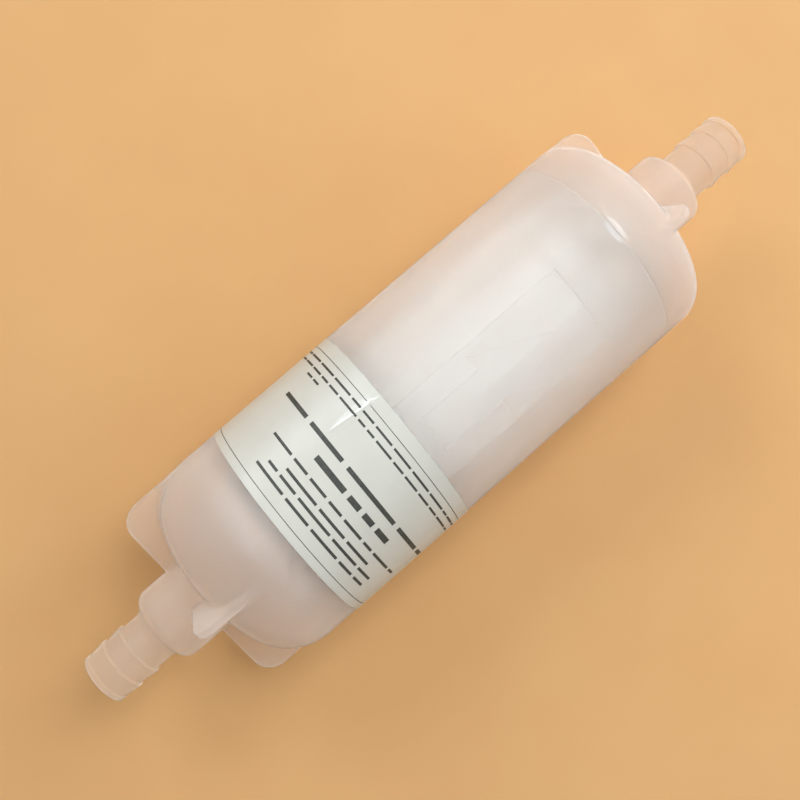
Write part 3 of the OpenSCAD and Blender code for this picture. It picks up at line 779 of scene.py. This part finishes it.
def milky_polypropylene(name, colours, haze, clear):
    """Natural polypropylene, injection moulded: milky and satin, it blurs what is behind it.

    The melt's flow leaves faint clouds, and the sunk field that a mould insert formed is whiter.
    """
    material, tree, out = new_material(name)
    place = add(tree, "ShaderNodeTexCoord").outputs["Object"]
    stretched = add(tree, "ShaderNodeMapping", {"Vector": place, "Scale": (0.5, 1, 1)}).outputs[0]
    clouds = add(tree, "ShaderNodeTexNoise", {
        "Vector": stretched, "Scale": 1 / (CLOUD * MM), "Detail": 2.0, "Roughness": 0.5,
    }).outputs[0]
    ripple = add(tree, "ShaderNodeTexNoise", {
        "Vector": place, "Scale": 1 / (RIPPLE * MM), "Detail": 3.0, "Roughness": 0.6,
    }).outputs[0]

    # Colour: clouds, and painted shade that darkens the hose tubes
    clouded = add(tree, "ShaderNodeMix", {
        FACTOR: clouds, COLOUR_A: linear(colours[0]), COLOUR_B: linear(colours[1]),
    }, data_type="RGBA").outputs[MIXED]
    x = add(tree, "ShaderNodeSeparateXYZ", {0: place}).outputs["X"]
    from_middle = add(tree, "ShaderNodeMath", {0: x}, operation="ABSOLUTE").outputs[0]
    tube = add(tree, "ShaderNodeMapRange", {
        "Value": from_middle, "From Min": TUBE_FROM * MM, "From Max": TUBE_PAST * MM,
    }).outputs[0]
    tint = add(tree, "ShaderNodeMix", {
        FACTOR: tube, COLOUR_A: clouded, COLOUR_B: linear(TUBE_PAINTED_SHADE),
    }, data_type="RGBA", blend_type="MULTIPLY").outputs[MIXED]

    # How far it clears: less on the field, and edge-on, where sight passes more of the milky wall
    see = add(tree, "ShaderNodeMapRange", {
        "Value": clouds, "From Min": NOISE_LOW, "From Max": NOISE_HIGH,
        "To Min": clear - CLEAR_SPREAD, "To Max": clear + CLEAR_SPREAD,
    }).outputs[0]
    see = add(tree, "ShaderNodeMath", {
        0: on_field(tree, place), 1: -FIELD_LOSS, 2: see,
    }, operation="MULTIPLY_ADD").outputs[0]
    slant = add(tree, "ShaderNodeLayerWeight", {"Blend": 0.5}).outputs["Facing"]
    thin = add(tree, "ShaderNodeMapRange", {
        "Value": slant, "From Min": 0.3, "From Max": 1.0, "To Min": 1.0, "To Max": 1 - EDGE_ON_LOSS,
    }, interpolation_type="SMOOTHSTEP").outputs[0]
    see = add(tree, "ShaderNodeMath", {0: see, 1: thin}, operation="MULTIPLY").outputs[0]

    # Surface: satin, with the glossy smear of melt at the top of the weld
    rough = add(tree, "ShaderNodeMapRange", {
        "Value": ripple, "From Min": NOISE_LOW, "From Max": NOISE_HIGH,
        "To Min": haze - HAZE_SPREAD, "To Max": haze + HAZE_SPREAD,
    }).outputs[0]
    satin = add(tree, "ShaderNodeBump", {
        "Height": ripple, "Strength": 0.25, "Distance": RIPPLE_DEPTH * MM,
    }).outputs[0]
    melt = round_place(tree, Vector(MELT_PLACE) * MM, MELT_REACH)
    shader = add(tree, "ShaderNodeBsdfPrincipled", {
        "Base Color": tint, "Roughness": rough, "IOR": POLYPROPYLENE_IOR, "Transmission Weight": see,
        "Normal": satin, "Coat Weight": melt, "Coat Roughness": GLOSSY,
    })
    tree.links.new(shader.outputs[0], out.inputs[0])
    return material


def mottled(name, colours, roughness, spot, grain, depth):
    """A matt or satin finish: clouds between two colours, and a fine grain. Their sizes are in mm."""
    material, tree, out = new_material(name)
    place = add(tree, "ShaderNodeTexCoord").outputs["Object"]
    clouds = add(tree, "ShaderNodeTexNoise", {
        "Vector": place, "Scale": 1 / (spot * MM), "Detail": 3.0, "Roughness": 0.6,
    }).outputs[0]
    fine = add(tree, "ShaderNodeTexNoise", {
        "Vector": place, "Scale": 1 / (grain * MM), "Detail": 2.0, "Roughness": 0.7,
    }).outputs[0]
    spread = add(tree, "ShaderNodeMapRange", {
        "Value": clouds, "From Min": NOISE_LOW, "From Max": NOISE_HIGH,
    }).outputs[0]
    tint = add(tree, "ShaderNodeMix", {
        FACTOR: spread, COLOUR_A: linear(colours[0]), COLOUR_B: linear(colours[1]),
    }, data_type="RGBA").outputs[MIXED]
    rough = add(tree, "ShaderNodeMapRange", {
        "Value": fine, "From Min": NOISE_LOW, "From Max": NOISE_HIGH,
        "To Min": roughness - MATT_SPREAD, "To Max": roughness + MATT_SPREAD,
    }).outputs[0]
    relief = add(tree, "ShaderNodeBump", {
        "Height": fine, "Strength": 0.5, "Distance": depth * MM,
    }).outputs[0]
    shader = add(tree, "ShaderNodeBsdfPrincipled", {
        "Base Color": tint, "Roughness": rough, "Normal": relief,
    })
    tree.links.new(shader.outputs[0], out.inputs[0])
    return material


def shine_at_creases(film):
    """Where the film creased it was rubbed down, and it shines there."""
    tree = film.node_tree
    creases = round_place(tree, on_label(*CREASES_PLACE, LABEL_R), CREASES_REACH)
    shader = tree.nodes["Principled BSDF"]
    tree.links.new(creases, shader.inputs["Coat Weight"])
    shader.inputs["Coat Roughness"].default_value = GLOSSY


def dress(piece, material, slot, *replaced):
    """The piece's material, body and the nodes that it stands for. The slot is not used."""
    piece.data.materials.clear()
    piece.data.materials.append(material)
    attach(piece, "root")
    if replaced:
        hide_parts(*replaced)


# Studio, in metres: the floor's half width, the strength of the room's even light, the place that all soft
# boxes face, and their names, places, widths, powers and colours

FLOOR_HALF, ROOM_LIGHT, LAMP_AIM = 3.0, 0.3, (0, 0, 0.02)
LAMPS = [
    ("overhead", (0.35, 0.05, 0.85), 0.4, 4.15, "#EFF6FF"),
    ("window", (0.0, 1.1, 0.9), 0.6, 8.7, "#EFF6FF"),
    ("outlet_side", (1.1, 0.0, 0.8), 0.8, 8.6, "#EFF6FF"),
    ("fill", (0.75, -0.9, 0.9), 0.8, 4.7, "#EFF6FF"),
    ("inlet_side", (-1.0, 0.1, 0.25), 0.6, 0.8, "#FFEAD2"),
]


def make_floor(paper):
    """A plain floor, far wider than the view."""
    mesh = bpy.data.meshes.new("floor")
    corners = [(FLOOR_HALF * x, FLOOR_HALF * y, 0) for x, y in ((-1, -1), (1, -1), (1, 1), (-1, 1))]
    mesh.from_pydata(corners, [], [(0, 1, 2, 3)])
    mesh.materials.append(paper)
    return put_in_scene("floor", mesh)


def soft_box(name, place, width, power, colour):
    """A square area light that faces the part."""
    lamp = bpy.data.lights.new(name, "AREA")
    lamp.shape, lamp.size, lamp.energy = "SQUARE", width, power
    lamp.color = linear(colour)[:3]
    holder = put_in_scene(name, lamp)
    holder.location = place
    holder.rotation_mode = "QUATERNION"
    holder.rotation_quaternion = (Vector(LAMP_AIM) - Vector(place)).to_track_quat("-Z", "Y")


def light_studio():
    """Soft boxes, an even light from all round, and a plain view."""
    for lamp in LAMPS:
        soft_box(*lamp)
    world = bpy.data.worlds.new("studio")
    bpy.context.scene.world = world
    world.use_nodes = True
    background = world.node_tree.nodes["Background"].inputs
    background["Color"].default_value = linear("#FFFFFF")
    background["Strength"].default_value = ROOM_LIGHT
    bpy.context.scene.view_settings.view_transform = "Standard"

    # Light passes the walls many times before it leaves the chamber
    tracer = bpy.context.scene.cycles
    tracer.max_bounces, tracer.diffuse_bounces, tracer.glossy_bounces = 40, 24, 24
    tracer.transmission_bounces, tracer.transparent_max_bounces = 40, 40


place_camera()
bowl, cap = make_bowl(), make_cap()

# The bowl: nearly colourless, so it takes the warmth of the floor and the white of the element behind it
dress(
    bowl, milky_polypropylene("milky_polypropylene", ("#FFFEFC", "#FDF9F5"), 0.85, 0.93),
    "housing", "housing_bowl",
)
# The cap: the same resin, painted a shade darker than the bowl. This is painted shade that tones down the
# stronger light on the outlet end
dress(
    cap, milky_polypropylene("outlet_end_painted_shade_polypropylene", ("#FCF7F2", "#FAF5F0"), 0.85, 0.93),
    "housing", "housing_cap",
)

# Satin coated film: its soft gloss shows the creases
film = mottled("coated_label_film", ("#CAC7BA", "#C6C3B6"), 0.42, 6.0, 0.9, 0.003)
shine_at_creases(film)
dress(make_label(), film, "label", "label")
# Printed ink, matt and a little worn
ink = mottled("printed_ink", ("#34342F", "#48483F"), 0.55, 1.2, 0.4, 0.003)
dress(make_print(ink), ink, "label")

# Cage and core: thin ribs of natural polypropylene, which clear as the housing does
natural = milky_polypropylene("natural_polypropylene", ("#FFFEFC", "#FDF9F5"), 0.8, 0.93)
# The open end's disc: thicker, so it clears less and shows as a pale mass behind the wall
open_end = milky_polypropylene("open_end_polypropylene", ("#FFFEFC", "#FDF9F5"), 0.8, 0.75)
# The closed end's disc: it clears least, so its edge shows as a soft step. Its warmer colour is painted
# warm light, for the floor's warm light seen through the inlet dome
closed_end = milky_polypropylene("closed_end_painted_warmth_polypropylene", ("#FFF3E8", "#FDEFE2"), 0.8, 0.65)
# Melt-blown fleece: fibres give it a soft, matt face. They are drawn coarser, so that they show
fleece = mottled("polypropylene_fleece", ("#FCFCFB", "#F5F5F3"), 0.9, 1.4, 0.35, 0.05)
# Cast membrane: smooth and matt like chalk
membrane = mottled("cast_membrane", ("#FDFDFC", "#F9F9F7"), 0.8, 3.0, 0.5, 0.004)
for name, material in (
    ("closed_end_cap", closed_end),
    ("open_end_cap", open_end),
    ("outer_cage", natural),
    ("inner_core", natural),
    ("upstream_support", fleece),
    ("downstream_support", fleece),
    ("filter_medium", membrane),
):
    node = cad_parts[name]
    node.data.materials.clear()
    node.data.materials.append(material)

# Matt paper with faint clouds
paper = mottled("floor_paper", ("#D0A067", "#CD9B63"), 0.9, 60.0, 0.8, 0.01)
floor = make_floor(paper)
light_studio()
